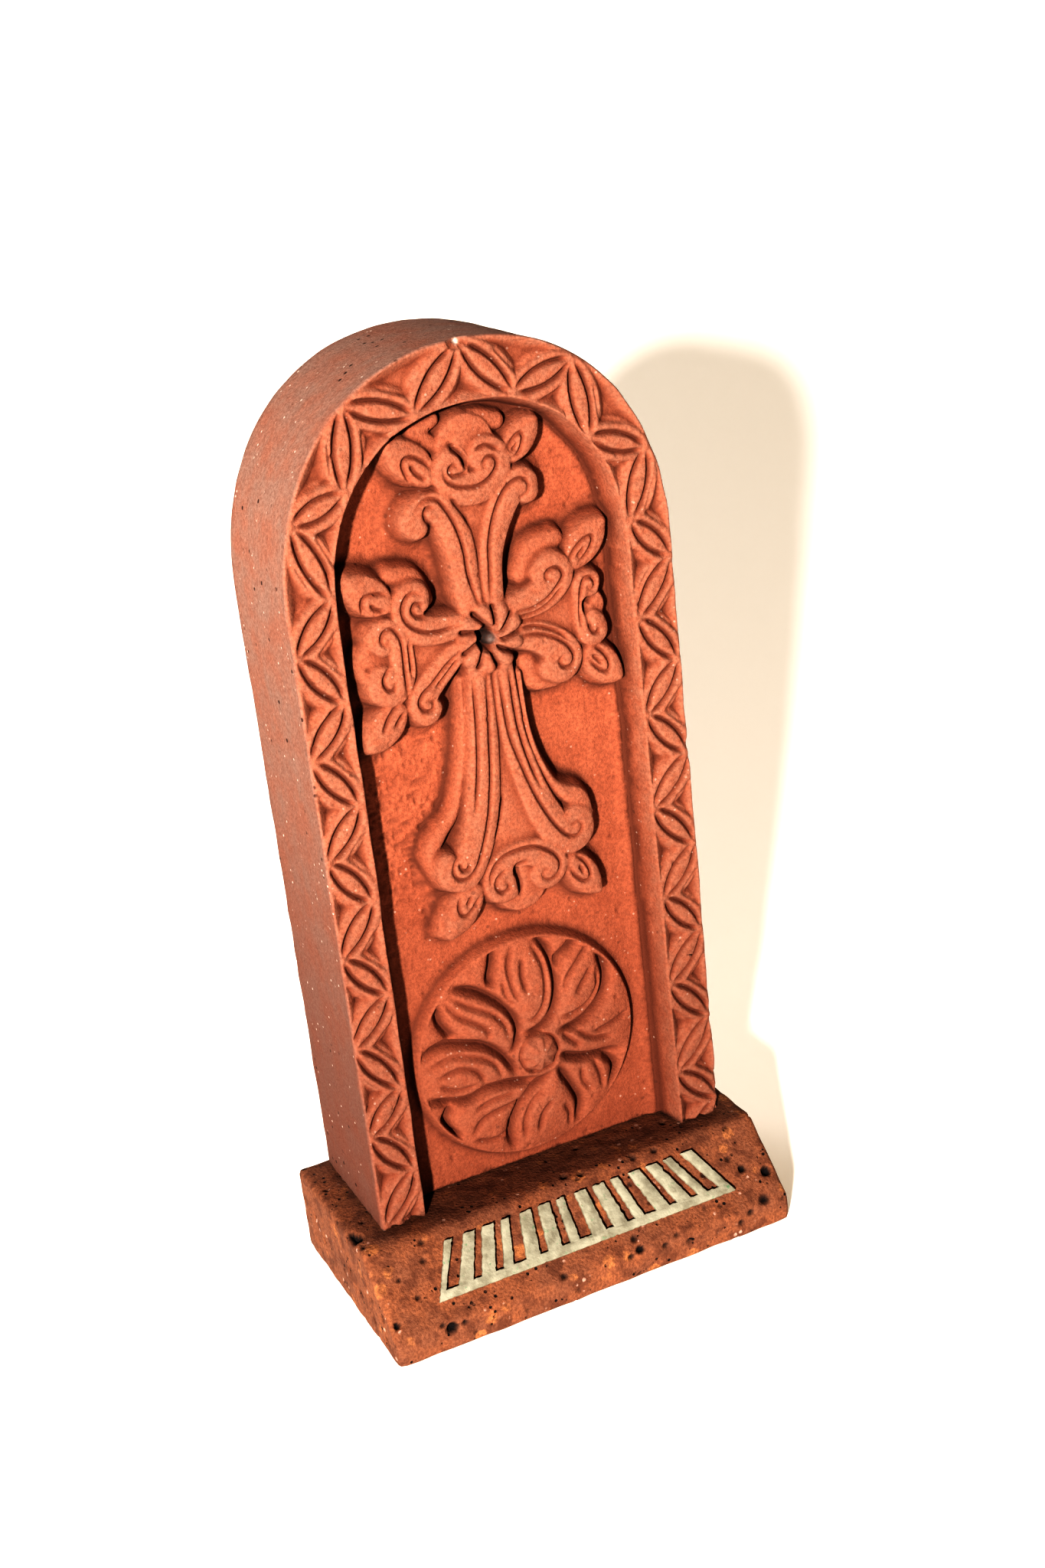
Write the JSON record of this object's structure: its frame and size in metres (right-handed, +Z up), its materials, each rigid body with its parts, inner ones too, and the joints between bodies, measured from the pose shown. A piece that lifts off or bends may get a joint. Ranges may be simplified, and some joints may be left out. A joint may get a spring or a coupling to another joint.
{
  "type": "souvenir khachkar cross stone",
  "caption": "Small carved stone slab with an arched top, a relief cross above a swirling medallion and a leaf border, standing on a plinth with a sloped front and a pale strip.",
  "frame": {"origin": "middle of the plinth's underside, which is the middle of the whole part's footprint", "axes": "+Z up through the slab, the carved face looks along -Y, +X to the right as seen from the front"},
  "size_m": [0.0758, 0.043, 0.1611],
  "materials": {
    "carved_tuff": "matt orange-red volcanic tuff, hand carved",
    "plinth_tuff": "matt brown-red tuff with black pits and paler grains",
    "pale_strip": "matt pale greenish stone, glued on"
  },
  "bodies": {
    "root": {"slab": "carved_tuff", "plinth": "plinth_tuff", "front_strip": "pale_strip"}
  },
  "joints": []
}
